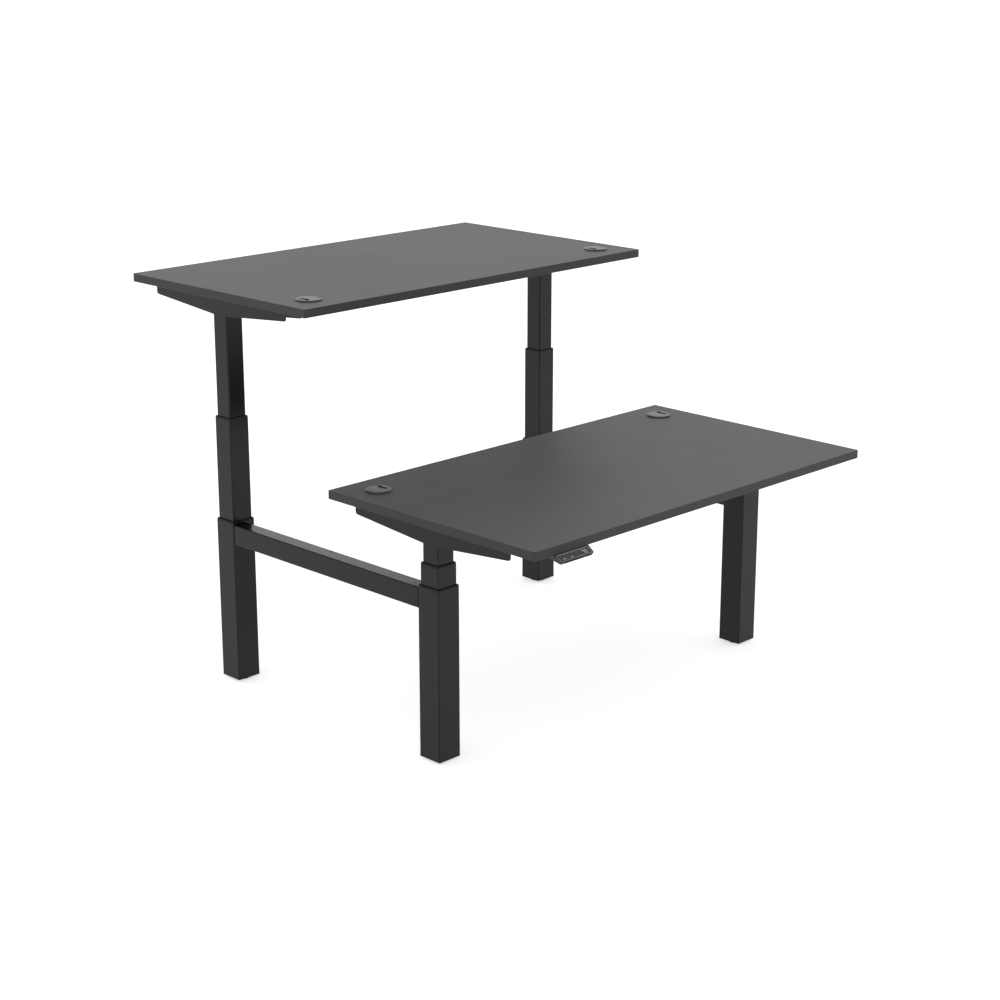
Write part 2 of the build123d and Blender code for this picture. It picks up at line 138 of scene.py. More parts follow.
def buildMottleGroup():
    # slow changes of shade over a surface, with a few lighter specks of dust
    tree, put, out = newGroup(
        "mottledShade",
        [("Colour", "Color", (0.1, 0.1, 0.1, 1)), ("Variation", "Float", 0.08), ("Dust", "Float", 0.02)],
        [("Colour", "Color")])
    broad = mathNode(tree, "SUBTRACT", noiseOf(tree, 4.0, 5.0), 0.5)
    gain = mathNode(tree, "ADD", 1.0, mathNode(tree, "MULTIPLY", broad, put.outputs["Variation"]))
    shade = addNode(tree, "ShaderNodeVectorMath", {"operation": "SCALE"}, i0=put.outputs["Colour"],
                    Scale=gain)
    speck = addNode(tree, "ShaderNodeMapRange", None, Value=noiseOf(tree, 420.0, 2.0),
                    From_Min=0.66, From_Max=0.8)
    dust = mathNode(tree, "MULTIPLY", speck.outputs["Result"], put.outputs["Dust"])
    tree.links.new(mixColour(tree, dust, shade.outputs["Vector"], (0.6, 0.6, 0.6, 1)), out.inputs["Colour"])
    return tree


grainGroup = buildGrainGroup()
wearGroup = buildWearGroup()
mottleGroup = buildMottleGroup()


# finishes: a user changes the look here

finishes = {
    "top_laminate": dict(shade=(0.051, 0.051, 0.052), rough=0.52, uneven=0.05, grains=1100, depth=0.00003,
                         variation=0.10, dust=0.012, wear=0.05, worn=(0.12, 0.12, 0.12), specular=0.42),
    "powder_steel": dict(shade=(0.0026, 0.0026, 0.0028), rough=0.24, uneven=0.05, grains=1500,
                         depth=0.00003, variation=0.14, dust=0.004, wear=0.20,
                         worn=(0.025, 0.025, 0.026), specular=0.245),
    "zinc_steel": dict(shade=(0.50, 0.51, 0.53), rough=0.34, uneven=0.18, grains=700, depth=0.00002,
                       variation=0.2, dust=0.0, wear=0.4, worn=(0.8, 0.8, 0.82), metallic=1.0),
    "glide_plastic": dict(shade=(0.004, 0.004, 0.0042), rough=0.6, uneven=0.1, grains=600, depth=0.00004,
                          variation=0.1, dust=0.005, wear=0.1, worn=(0.03, 0.03, 0.03), specular=0.22),
    "grommet_plastic": dict(shade=(0.048, 0.048, 0.049), rough=0.34, uneven=0.08, grains=800, depth=0.00002,
                            variation=0.08, dust=0.01, wear=0.15, worn=(0.1, 0.1, 0.1), specular=0.5),
    "foot_plastic": dict(shade=(0.006, 0.006, 0.0065), rough=0.6, uneven=0.15, grains=500, depth=0.00006,
                         variation=0.15, dust=0.02, wear=0.2, worn=(0.04, 0.04, 0.04), specular=0.3),
    "motor_casing": dict(shade=(0.020, 0.020, 0.021), rough=0.45, uneven=0.15, grains=900, depth=0.00004,
                         variation=0.12, dust=0.02, wear=0.3, worn=(0.2, 0.2, 0.2), specular=0.5),
    "handset_plastic": dict(shade=(0.012, 0.012, 0.013), rough=0.22, uneven=0.06, grains=400, depth=0.00001,
                            variation=0.06, dust=0.01, wear=0.2, worn=(0.1, 0.1, 0.1), specular=0.5),
    "key_plastic": dict(shade=(0.035, 0.035, 0.037), rough=0.4, uneven=0.1, grains=900, depth=0.00002,
                        variation=0.05, dust=0.01, wear=0.2, worn=(0.12, 0.12, 0.12), specular=0.5),
    # edge band: its colour is set darker than top_laminate, painted shade for the sides of the board
    "shadedEdgeBand": dict(shade=(0.019, 0.019, 0.020), rough=0.46, uneven=0.08, grains=1000, depth=0.00003,
                     variation=0.08, dust=0.01, wear=0.2, worn=(0.06, 0.06, 0.06), specular=0.3),
    # near-black rubber used as painted shade: the beam seam strips and handset nose strips, and in part the
    # grommet lips
    "paintedShadeRubber": dict(shade=(0.0015, 0.0015, 0.0016), rough=0.85, uneven=0.1, grains=800, depth=0.00003,
                       variation=0.1, dust=0.004, wear=0.05, worn=(0.01, 0.01, 0.01), specular=0.08),
    "displayGlass": dict(shade=(0.003, 0.003, 0.0035), rough=0.06, uneven=0.02, grains=300, depth=0.0,
                         variation=0.02, dust=0.02, wear=0.0, worn=(0.1, 0.1, 0.1), specular=0.5),
    "litDigits": dict(shade=(0.75, 0.78, 0.80), rough=0.4, uneven=0.02, grains=900, depth=0.0,
                      variation=0.03, dust=0.0, wear=0.0, worn=(0.9, 0.9, 0.9), specular=0.3),
    "printedMark": dict(shade=(0.62, 0.62, 0.62), rough=0.5, uneven=0.05, grains=900, depth=0.00001,
                        variation=0.06, dust=0.0, wear=0.3, worn=(0.3, 0.3, 0.3), specular=0.3),
    "satinTrim": dict(shade=(0.30, 0.30, 0.31), rough=0.35, uneven=0.05, grains=1200, depth=0.00001,
                      variation=0.05, dust=0.0, wear=0.2, worn=(0.45, 0.45, 0.45), specular=0.5),
}


def placeGroup(tree, group, **inputs):
    node = tree.nodes.new("ShaderNodeGroup")
    node.node_tree = group
    for name, value in inputs.items():
        socket = node.inputs[name.replace("_", " ")]
        if isinstance(value, bpy.types.NodeSocket):
            tree.links.new(value, socket)
        else:
            socket.default_value = value
    return node


def opaque(shade):
    return (*shade, 1.0)


def makeFinish(name, look):
    material = bpy.data.materials.new(name)
    material.use_nodes = True
    tree = material.node_tree
    shader = tree.nodes["Principled BSDF"]
    grain = placeGroup(tree, grainGroup, Grains_per_metre=look["grains"], Depth=look["depth"],
                       Roughness=look["rough"], Unevenness=look["uneven"])
    mottle = placeGroup(tree, mottleGroup, Colour=opaque(look["shade"]), Variation=look["variation"],
                        Dust=look["dust"])
    worn = placeGroup(tree, wearGroup, Colour=mottle.outputs["Colour"], Worn_colour=opaque(look["worn"]),
                      Amount=look["wear"])
    tree.links.new(worn.outputs["Colour"], shader.inputs["Base Color"])
    tree.links.new(grain.outputs["Roughness"], shader.inputs["Roughness"])
    tree.links.new(grain.outputs["Normal"], shader.inputs["Normal"])
    shader.inputs["Metallic"].default_value = look.get("metallic", 0.0)
    shader.inputs["Specular IOR Level"].default_value = look.get("specular", 0.5)
    return material


materials = {name: makeFinish(name, look) for name, look in finishes.items()}

for entry in frame["record"]["subparts"]:
    mesh = nodes[entry["node"]].data
    mesh.materials.clear()
    mesh.materials.append(materials[entry["material_slot"]])
print("finishes made:", len(materials))


# places and shapes that several pieces share

def deskBox(desk, part):
    # a node's corners in its desk's own frame, where the user sits towards -Y
    low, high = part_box(desk + "_" + part)
    if desk == "rear":
        low, high = Vector((-high.x, -high.y, low.z)), Vector((-low.x, -low.y, high.z))
    return low, high


def islandBoxes(node):
    # corners of each loose solid of a node
    bm = bmesh.new()
    bm.from_mesh(nodes[node].data)
    bmesh.ops.remove_doubles(bm, verts=bm.verts, dist=1e-6)
    waiting, boxes = set(bm.verts), []
    while waiting:
        edge = [waiting.pop()]
        low, high = edge[0].co.copy(), edge[0].co.copy()
        while edge:
            vert = edge.pop()
            low, high = Vector(map(min, low, vert.co)), Vector(map(max, high, vert.co))
            for link in vert.link_edges:
                other = link.other_vert(vert)
                if other in waiting:
                    waiting.remove(other)
                    edge.append(other)
        boxes.append((low, high))
    bm.free()
    return sorted(boxes, key=lambda pair: tuple(round(c, 4) for c in pair[0]))


def newPiece(name, source, body, material, place=None):
    # source is a bmesh or a mesh, place puts it where it belongs
    if isinstance(source, bmesh.types.BMesh):
        mesh = bpy.data.meshes.new(name)
        source.to_mesh(mesh)
        source.free()
    else:
        mesh = source
        mesh.name = name
    if place is not None:
        mesh.transform(place)
    piece = bpy.data.objects.new(name, mesh)
    bpy.context.scene.collection.objects.link(piece)
    mesh.materials.clear()
    mesh.materials.append(materials[material])
    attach(piece, body)
    return piece


def roundedPath(width, depth, corner, steps=5):
    # points and outward directions round a rectangle with rounded corners, centred at the origin
    path = []
    for sx, sy, start in ((1, -1, -90), (1, 1, 0), (-1, 1, 90), (-1, -1, 180)):
        centre = Vector((sx * (width / 2 - corner), sy * (depth / 2 - corner)))
        for step in range(steps + 1):
            angle = math.radians(start + 90 * step / steps)
            outward = Vector((math.cos(angle), math.sin(angle)))
            path.append((centre + outward * corner, outward))
    return path


def sweepClosed(bm, path, profile):
    # carries a closed profile of (outward, height) points round a closed path
    rings = [[bm.verts.new((*(spot + outward * out), z)) for out, z in profile] for spot, outward in path]
    for here, there in zip(rings, rings[1:] + rings[:1]):
        for i in range(len(profile)):
            j = (i + 1) % len(profile)
            bm.faces.new((here[i], there[i], there[j], here[j]))
    bmesh.ops.recalc_face_normals(bm, faces=bm.faces)


def addPlate(bm, outline, low, high):
    # a flat plate with the given outline of (x, y) points
    bottom = [bm.verts.new((x, y, low)) for x, y in outline]
    top = [bm.verts.new((x, y, high)) for x, y in outline]
    bm.faces.new(bottom[::-1])
    bm.faces.new(top)
    for i in range(len(outline)):
        j = (i + 1) % len(outline)
        bm.faces.new((bottom[i], bottom[j], top[j], top[i]))


def addLathe(bm, profile, steps=40):
    # turns a closed profile of (radius, height) points round Z
    rings = []
    for step in range(steps):
        angle = 2 * math.pi * step / steps
        rings.append([bm.verts.new((r * math.cos(angle), r * math.sin(angle), z)) for r, z in profile])
    for here, there in zip(rings, rings[1:] + rings[:1]):
        for i in range(len(profile)):
            j = (i + 1) % len(profile)
            bm.faces.new((here[i], there[i], there[j], here[j]))
    bmesh.ops.recalc_face_normals(bm, faces=bm.faces)


# geometry node trees for what repeats

def newTree(name, inputs):
    tree = bpy.data.node_groups.new(name, "GeometryNodeTree")
    tree.interface.new_socket("Geometry", in_out="INPUT", socket_type="NodeSocketGeometry")
    for label, kind, value in inputs:
        socket = tree.interface.new_socket(label, in_out="INPUT", socket_type="NodeSocket" + kind)
        if value is not None:
            socket.default_value = value
    tree.interface.new_socket("Geometry", in_out="OUTPUT", socket_type="NodeSocketGeometry")
    return tree, tree.nodes.new("NodeGroupInput").outputs, tree.nodes.new("NodeGroupOutput")


def moved(tree, geometry, z):
    shift = addNode(tree, "ShaderNodeCombineXYZ", None, Z=z).outputs[0]
    return addNode(tree, "GeometryNodeTransform", None, Geometry=geometry, Translation=shift).outputs[0]


def finishTree(tree, put, out, instances):
    real = addNode(tree, "GeometryNodeRealizeInstances", None, Geometry=instances).outputs[0]
    dressed = addNode(tree, "GeometryNodeSetMaterial", None, Geometry=real, Material=put["Material"])
    tree.links.new(dressed.outputs[0], out.inputs[0])


def buildScrewTree():
    # a screw with a hexagon socket at each point, its head towards the point's aim
    tree, put, out = newTree("socketScrews", [
        ("Head radius", "Float", 5 * mm), ("Head height", "Float", 3 * mm),
        ("Socket radius", "Float", 2.2 * mm), ("Socket depth", "Float", 1.6 * mm),
        ("Shank radius", "Float", 2.4 * mm), ("Shank length", "Float", 14 * mm),
        ("Material", "Material", None)])
    topRadius = mathNode(tree, "MULTIPLY", put["Head radius"], 0.72)
    rimHeight = mathNode(tree, "MULTIPLY", put["Head height"], 0.4)
    rim = addNode(tree, "GeometryNodeMeshCylinder", None, Vertices=28, Radius=put["Head radius"],
                  Depth=rimHeight).outputs["Mesh"]
    rim = moved(tree, rim, mathNode(tree, "MULTIPLY", rimHeight, 0.5))
    domeHeight = mathNode(tree, "SUBTRACT", put["Head height"], rimHeight)
    dome = addNode(tree, "GeometryNodeMeshCone", None, Vertices=28, Radius_Top=topRadius,
                   Radius_Bottom=put["Head radius"], Depth=domeHeight).outputs["Mesh"]
    dome = moved(tree, dome, rimHeight)
    head = addNode(tree, "GeometryNodeMeshBoolean", {"operation": "UNION"})
    tree.links.new(rim, head.inputs["Mesh 2"])
    tree.links.new(dome, head.inputs["Mesh 2"])
    socket = addNode(tree, "GeometryNodeMeshCylinder", None, Vertices=6, Radius=put["Socket radius"],
                     Depth=mathNode(tree, "MULTIPLY", put["Socket depth"], 2.0)).outputs["Mesh"]
    bored = addNode(tree, "GeometryNodeMeshBoolean", {"operation": "DIFFERENCE"})
    tree.links.new(head.outputs["Mesh"], bored.inputs["Mesh 1"])
    tree.links.new(moved(tree, socket, put["Head height"]), bored.inputs["Mesh 2"])
    shank = addNode(tree, "GeometryNodeMeshCylinder", None, Vertices=12, Radius=put["Shank radius"],
                    Depth=put["Shank length"]).outputs["Mesh"]
    shank = moved(tree, shank, mathNode(tree, "MULTIPLY", put["Shank length"], -0.5))
    both = addNode(tree, "GeometryNodeJoinGeometry")
    tree.links.new(bored.outputs["Mesh"], both.inputs[0])
    tree.links.new(shank, both.inputs[0])
    aim = addNode(tree, "GeometryNodeInputNamedAttribute", {"data_type": "FLOAT_VECTOR"}, Name="aim")
    turn = addNode(tree, "FunctionNodeAlignRotationToVector", {"axis": "Z"},
                   Vector=aim.outputs["Attribute"]).outputs[0]
    placed = addNode(tree, "GeometryNodeInstanceOnPoints", None, Points=put["Geometry"],
                     Instance=both.outputs[0], Rotation=turn).outputs[0]
    finishTree(tree, put, out, placed)
    return tree


def buildRibTree():
    # round-backed ribs along an arc, lying along it, across it or upright as Rib turn says
    tree, put, out = newTree("ribsOnArc", [
        ("Count", "Int", 24), ("Arc radius", "Float", 20 * mm), ("Start", "Float", 0.0),
        ("Sweep", "Float", 2 * math.pi), ("Rib radius", "Float", 0.8 * mm), ("Rib length", "Float", 4 * mm),
        ("Rib turn", "Vector", (0, math.pi / 2, 0)), ("Material", "Material", None)])
    arc = addNode(tree, "GeometryNodeCurveArc", None, Resolution=put["Count"], Radius=put["Arc radius"],
                  Start_Angle=put["Start"], Sweep_Angle=put["Sweep"]).outputs["Curve"]
    spots = addNode(tree, "GeometryNodeCurveToPoints", {"mode": "EVALUATED"}, Curve=arc)
    barrel = addNode(tree, "GeometryNodeMeshCylinder", None, Vertices=10, Radius=put["Rib radius"],
                     Depth=put["Rib length"]).outputs["Mesh"]
    rib = addNode(tree, "GeometryNodeTransform", None, Geometry=barrel, Rotation=put["Rib turn"]).outputs[0]
    placed = addNode(tree, "GeometryNodeInstanceOnPoints", None, Points=spots.outputs["Points"],
                     Instance=rib, Rotation=spots.outputs["Rotation"]).outputs[0]
    finishTree(tree, put, out, placed)
    return tree


def buildSlatTree():
    # a row of round-ended slats along X
    tree, put, out = newTree("slatRow", [
        ("Count", "Int", 12), ("Pitch", "Float", 5 * mm), ("Slat width", "Float", 1.6 * mm),
        ("Slat length", "Float", 16 * mm), ("Slat height", "Float", 1.2 * mm),
        ("Material", "Material", None)])
    step = addNode(tree, "ShaderNodeCombineXYZ", None, X=put["Pitch"]).outputs[0]
    half = mathNode(tree, "MULTIPLY", mathNode(tree, "SUBTRACT", put["Count"], 1.0), -0.5)
    start = addNode(tree, "ShaderNodeCombineXYZ", None, X=mathNode(tree, "MULTIPLY", half, put["Pitch"]))
    row = addNode(tree, "GeometryNodeMeshLine", None, Count=put["Count"], Start_Location=start.outputs[0],
                  Offset=step).outputs[0]
    size = addNode(tree, "ShaderNodeCombineXYZ", None, X=put["Slat width"], Y=put["Slat length"],
                   Z=put["Slat height"]).outputs[0]
    bar = addNode(tree, "GeometryNodeMeshCube", None, Size=size, Vertices_X=2, Vertices_Y=2, Vertices_Z=2)
    end = addNode(tree, "GeometryNodeMeshCylinder", None, Vertices=12,
                  Radius=mathNode(tree, "MULTIPLY", put["Slat width"], 0.5), Depth=put["Slat height"])
    reach = mathNode(tree, "MULTIPLY", put["Slat length"], 0.5)
    whole = addNode(tree, "GeometryNodeMeshBoolean", {"operation": "UNION"})
    tree.links.new(bar.outputs["Mesh"], whole.inputs["Mesh 2"])
    for side in (1.0, -1.0):
        shift = addNode(tree, "ShaderNodeCombineXYZ", None, Y=mathNode(tree, "MULTIPLY", reach, side))
        tip = addNode(tree, "GeometryNodeTransform", None, Geometry=end.outputs["Mesh"],
                      Translation=shift.outputs[0]).outputs[0]
        tree.links.new(tip, whole.inputs["Mesh 2"])
    placed = addNode(tree, "GeometryNodeInstanceOnPoints", None, Points=row,
                     Instance=whole.outputs["Mesh"]).outputs[0]
    finishTree(tree, put, out, placed)
    return tree


screwTree = buildScrewTree()
ribTree = buildRibTree()
slatTree = buildSlatTree()


def grow(tree, sizes, material, points=()):
    # runs a tree on (place, aim) points and gives back the plain mesh
    seed = bpy.data.meshes.new("seed")
    seed.from_pydata([place for place, _ in points], [], [])
    if points:
        aims = seed.attributes.new("aim", "FLOAT_VECTOR", "POINT")
        for item, (_, aim) in zip(aims.data, points):
            item.vector = aim
    holder = bpy.data.objects.new("seed", seed)
    bpy.context.scene.collection.objects.link(holder)
    modifier = holder.modifiers.new("grow", "NODES")
    modifier.node_group = tree
    wanted = dict(sizes, Material=materials[material])
    for item in tree.interface.items_tree:
        if item.in_out == "INPUT" and item.name in wanted:
            modifier[item.identifier] = wanted[item.name]
    bpy.context.view_layer.update()
    graph = bpy.context.evaluated_depsgraph_get()
    mesh = bpy.data.meshes.new_from_object(holder.evaluated_get(graph), depsgraph=graph)
    bpy.data.objects.remove(holder)
    return mesh


# edge bands: strips glued round the sides of each board, coloured darker than the top laminate as painted
# shade on the board's sides

shadedEdgeBand = {"proud": 0.4 * mm, "inset": 0.5 * mm, "thick": 1.0 * mm, "soften": 0.35 * mm, "corner": 5 * mm}


def makeShadedEdgeBand(desk):
    low, high = deskBox(desk, "desktop")
    proud, thick, soften = shadedEdgeBand["proud"], shadedEdgeBand["thick"], shadedEdgeBand["soften"]
    bottom, top = low.z + shadedEdgeBand["inset"], high.z - shadedEdgeBand["inset"]
    profile = [(proud - thick, bottom), (proud - soften, bottom), (proud, bottom + soften),
               (proud, top - soften), (proud - soften, top), (proud - thick, top)]
    bm = bmesh.new()
    sweepClosed(bm, roundedPath(high.x - low.x, high.y - low.y, shadedEdgeBand["corner"]), profile)
    middle = Matrix.Translation(((low.x + high.x) / 2, (low.y + high.y) / 2, 0))
    # the band's dark colour is painted shade on the board's sides
    newPiece(desk + "_shaded_edge_band", bm, desk + "_desk", "shadedEdgeBand", turns[desk] @ middle)


for desk in deskNames:
    makeShadedEdgeBand(desk)
print("edge bands made")


# screws: rounded heads with a hexagon socket, in place of the plain ones

screws = {"Head radius": 5 * mm, "Head height": 3 * mm, "Socket radius": 2.2 * mm, "Socket depth": 1.7 * mm,
          "Shank radius": 2.4 * mm, "Shank length": 12 * mm}


def makeDesktopScrews(desk):
    points = []
    for low, high in islandBoxes(desk + "_desktop_screws"):
        middle = (low + high) / 2
        points.append(((middle.x, middle.y, low.z + screws["Head height"]), (0, 0, -1)))
    mesh = grow(screwTree, screws, "zinc_steel", points)
    piece = newPiece(desk + "_top_screws", mesh, desk + "_desk", "zinc_steel")
    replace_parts(piece, desk + "_desktop_screws")


def makeBeamScrews():
    points = []
    for low, high in islandBoxes("beam_screws"):
        middle, inward = (low + high) / 2, -math.copysign(1, low.x)
        face = high.x - screws["Head height"] if inward > 0 else low.x + screws["Head height"]
        points.append(((face, middle.y, middle.z), (inward, 0, 0)))
    mesh = grow(screwTree, dict(screws, **{"Shank length": 6 * mm}), "zinc_steel", points)
    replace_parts(newPiece("beam_socket_screws", mesh, "frame", "zinc_steel"), "beam_screws")


for desk in deskNames:
    makeDesktopScrews(desk)
makeBeamScrews()
print("screws made")


# side beams: a near-black strip fills the seam at the rear legs, painted shade for the shadow in that gap

seamShade = {"setBack": 1.4 * mm, "thick": 2.2 * mm, "corner": 4 * mm}


def makeBeamSeamShade(side):
    low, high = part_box(side + "_side_beam")
    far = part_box("rear_left_outer_column")[0].y
    width, height = high.x - low.x - 2 * seamShade["setBack"], high.z - low.z - 2 * seamShade["setBack"]
    bm = bmesh.new()
    gap = far - high.y
    profile = [(-seamShade["thick"], 0), (-0.3 * mm, 0), (0, 0.5 * mm), (0, gap - 0.5 * mm),
               (-0.3 * mm, gap), (-seamShade["thick"], gap)]
    sweepClosed(bm, roundedPath(width, height, seamShade["corner"]), profile)
    upright = Matrix.Rotation(math.radians(-90), 4, "X")
    middle = Matrix.Translation(((low.x + high.x) / 2, high.y, (low.z + high.z) / 2))
    # near-black fill: painted shade where the gap would show only shadow
    newPiece(side + "_beam_seam_shade", bm, "frame", "paintedShadeRubber", middle @ upright)


for side in sideNames:
    makeBeamSeamShade(side)
print("beam seamShades made")


# feet: a knurled rim to turn each one by, and a ring moulded on top

foot = {"ribs": 36, "ribRadius": 0.55 * mm, "ribSink": 0.25 * mm, "rimHeight": 3.0 * mm,
        "rimLift": 1.0 * mm, "ringRadius": 19 * mm, "ringWidth": 1.8 * mm,
        "ringLow": 4.8 * mm, "ringHigh": 5.6 * mm}


def makeFootTrim(desk, side):
    name = desk + "_" + side + "_foot"
    low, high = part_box(name)
    radius = (high.x - low.x) / 2
    middle = Matrix.Translation(((low.x + high.x) / 2, (low.y + high.y) / 2, low.z))
    ribs = grow(ribTree, {"Count": foot["ribs"], "Arc radius": radius - foot["ribSink"], "Start": 0.0,
                          "Sweep": 2 * math.pi * (1 - 1 / foot["ribs"]), "Rib radius": foot["ribRadius"],
                          "Rib length": foot["rimHeight"], "Rib turn": (math.pi / 2, 0, 0)}, "foot_plastic")
    raised = Matrix.Translation((0, 0, foot["rimHeight"] / 2 + foot["rimLift"]))
    newPiece(name + "_grip", ribs, name, "foot_plastic", middle @ raised)
    bm = bmesh.new()
    ring, half = foot["ringRadius"], foot["ringWidth"] / 2
    addLathe(bm, [(ring - half, foot["ringLow"]), (ring + half, foot["ringLow"]),
                  (ring + half * 2 / 3, foot["ringHigh"]), (ring - half * 2 / 3, foot["ringHigh"])])
    newPiece(name + "_ring", bm, name, "foot_plastic", middle)


for desk in deskNames:
    for side in sideNames:
        makeFootTrim(desk, side)
print("feet trimmed")


# grommet caps: a near-black rubber lip round the cable slot, whose dark rim also widens the slot's mark as
# painted shade for the shadow inside it, and finger ribs opposite

grommet = {"pivot": (45 * mm, 3 * mm), "slotRadius": 30 * mm, "slotWidth": 8 * mm, "slotHalfAngle": 28,
           "lip": 1.5 * mm, "ribs": 7, "ribArc": 29 * mm, "ribRadius": 0.5 * mm, "ribLength": 6 * mm,
           "ribStart": 155, "ribSweep": 50}


def slotPath(steps=14, endSteps=8):
    # outline of the curved slot about its pivot, which lies towards +X
    radius, half = grommet["slotRadius"], math.radians(grommet["slotHalfAngle"])
    reach = grommet["slotWidth"] / 2
    path = []

    def walk(centre, fromAngle, toAngle, size, count, flip=1):
        for step in range(count + 1):
            angle = fromAngle + (toAngle - fromAngle) * step / count
            outward = Vector((math.cos(angle), math.sin(angle)))
            path.append((centre + outward * size, outward * flip))

    origin = Vector((0, 0))
    walk(origin, math.pi - half, math.pi + half, radius + reach, steps)
    lowEnd = Vector((math.cos(math.pi + half), math.sin(math.pi + half))) * radius
    walk(lowEnd, math.pi + half, 2 * math.pi + half, reach, endSteps)
    walk(origin, math.pi + half, math.pi - half, radius - reach, steps, -1)
    highEnd = Vector((math.cos(math.pi - half), math.sin(math.pi - half))) * radius
    walk(highEnd, -half, math.pi - half, reach, endSteps)
    # neighbours that coincide where two runs meet are dropped
    kept = [path[0]]
    for spot, outward in path[1:]:
        if (spot - kept[-1][0]).length > 0.05 * mm:
            kept.append((spot, outward))
    if (kept[0][0] - kept[-1][0]).length < 0.05 * mm:
        kept.pop()
    return kept


def makeCapTrim(desk, side):
    part = side + "_grommet_cap"
    name = desk + "_" + part
    low, high = deskBox(desk, part)
    centre = Vector(((low.x + high.x) / 2, (low.y + high.y) / 2, high.z))
    lip = grommet["lip"]
    # the lip reaches out over the cap: partly a rubber lip, partly painted shade widening the slot's dark
    # mark
    bm = bmesh.new()
    sweepClosed(bm, slotPath(), [(-0.9 * mm, -0.6 * mm), (lip, -0.2 * mm), (lip, 0.1 * mm),
                                 (lip * 0.5, 0.3 * mm), (-0.9 * mm, 0.1 * mm)])
    pivot = Matrix.Translation(centre + Vector((*grommet["pivot"], 0)))
    newPiece(name + "_lip", bm, name, "paintedShadeRubber", turns[desk] @ pivot)
    ribs = grow(ribTree, {"Count": grommet["ribs"], "Arc radius": grommet["ribArc"],
                          "Start": math.radians(grommet["ribStart"]),
                          "Sweep": math.radians(grommet["ribSweep"]),
                          "Rib radius": grommet["ribRadius"], "Rib length": grommet["ribLength"],
                          "Rib turn": (0, math.pi / 2, 0)}, "grommet_plastic")
    newPiece(name + "_ribs", ribs, name, "grommet_plastic",
             turns[desk] @ Matrix.Translation(centre - Vector((2 * mm, 0, 0.1 * mm))))


for desk in deskNames:
    for side in sideNames:
        makeCapTrim(desk, side)
print("grommet caps trimmed")


# handsets: display, digits, trim and the marks on the keys

handset = {"tilt": 28, "recess": 0.6 * mm, "border": 3 * mm, "corner": 5 * mm, "trimWidth": 1.1 * mm,
           "displaySize": (43.4 * mm, 14.4 * mm), "displayPlace": (32 * mm, -1 * mm),
           "digitSize": (6.4 * mm, 10.4 * mm), "digitPitch": 10.4 * mm, "stroke": 1.3 * mm,
           "noseLength": 104 * mm, "noseHeight": 4.4 * mm, "width": 125 * mm,
           "keyTop": -0.1 * mm, "markThick": 0.08 * mm, "reading": {"front": " 70", "rear": "120"}}
keyMarks = {"up_button": "up", "down_button": "down", "memory_button_1": "1", "memory_button_2": "2",
            "memory_button_3": "3", "save_button": "ring"}
segmentsOf = {"0": "abcdef", "1": "bc", "2": "abged", "7": "abc", " ": ""}


def handsetFace(desk):
    # the plane of the sloping face, at its middle: X along the desk, Y up the slope
    board, case = deskBox(desk, "desktop"), deskBox(desk, "handset")
    reach = board[0].y - case[0].y
    tilt = math.radians(handset["tilt"])
    middle = Vector(((case[0].x + case[1].x) / 2, board[0].y - reach / 2,
                     board[0].z - reach * math.tan(tilt) / 2))
    place = Matrix.Translation(middle) @ Matrix.Rotation(tilt, 4, "X")
    return turns[desk] @ place, reach / math.cos(tilt)


def segmentOutlines():
    wide, tall = handset["digitSize"]
    stroke = handset["stroke"]
    half, gap = stroke / 2, 0.25 * mm

    def across(y):
        reach = wide / 2 - gap
        return [(-reach, y), (-reach + half, y - half), (reach - half, y - half), (reach, y),
                (reach - half, y + half), (-reach + half, y + half)]

    def upright(x, y):
        reach = tall / 4 - gap
        return [(x, y - reach), (x + half, y - reach + half), (x + half, y + reach - half), (x, y + reach),
                (x - half, y + reach - half), (x - half, y - reach + half)]

    return {"a": across(tall / 2), "g": across(0), "d": across(-tall / 2),
            "b": upright(wide / 2, tall / 4), "c": upright(wide / 2, -tall / 4),
            "f": upright(-wide / 2, tall / 4), "e": upright(-wide / 2, -tall / 4)}


def makeDisplay(desk):
    face, _ = handsetFace(desk)
    spot = Matrix.Translation((*handset["displayPlace"], -handset["recess"]))
    bm = bmesh.new()
    outline = [tuple(point) for point, _ in roundedPath(*handset["displaySize"], 1.3 * mm)]
    addPlate(bm, outline, -0.4 * mm, -0.05 * mm)
    bevelled = [edge for edge in bm.edges if all(abs(v.co.z + 0.05 * mm) < 1e-7 for v in edge.verts)]
    bmesh.ops.bevel(bm, geom=bevelled, offset=0.12 * mm, segments=2, profile=0.5, affect="EDGES")
    newPiece(desk + "_display_glass", bm, desk + "_desk", "displayGlass", face @ spot)
    digits = bmesh.new()
    shapes = segmentOutlines()
    for place, digit in enumerate(handset["reading"][desk]):
        shift = (place - 1) * handset["digitPitch"]
        for letter in segmentsOf[digit]:
            addPlate(digits, [(x + shift, y) for x, y in shapes[letter]], -0.06 * mm, 0.0)
    newPiece(desk + "_display_digits", digits, desk + "_desk", "litDigits", face @ spot)
    edge = bmesh.new()
    size = [side + 1.0 * mm for side in handset["displaySize"]]
    sweepClosed(edge, roundedPath(*size, 1.8 * mm),
                [(-0.1 * mm, -0.2 * mm), (0.5 * mm, -0.2 * mm), (0.4 * mm, 0.12 * mm), (0, 0.12 * mm)])
    newPiece(desk + "_display_frame", edge, desk + "_desk", "satinTrim", face @ spot)


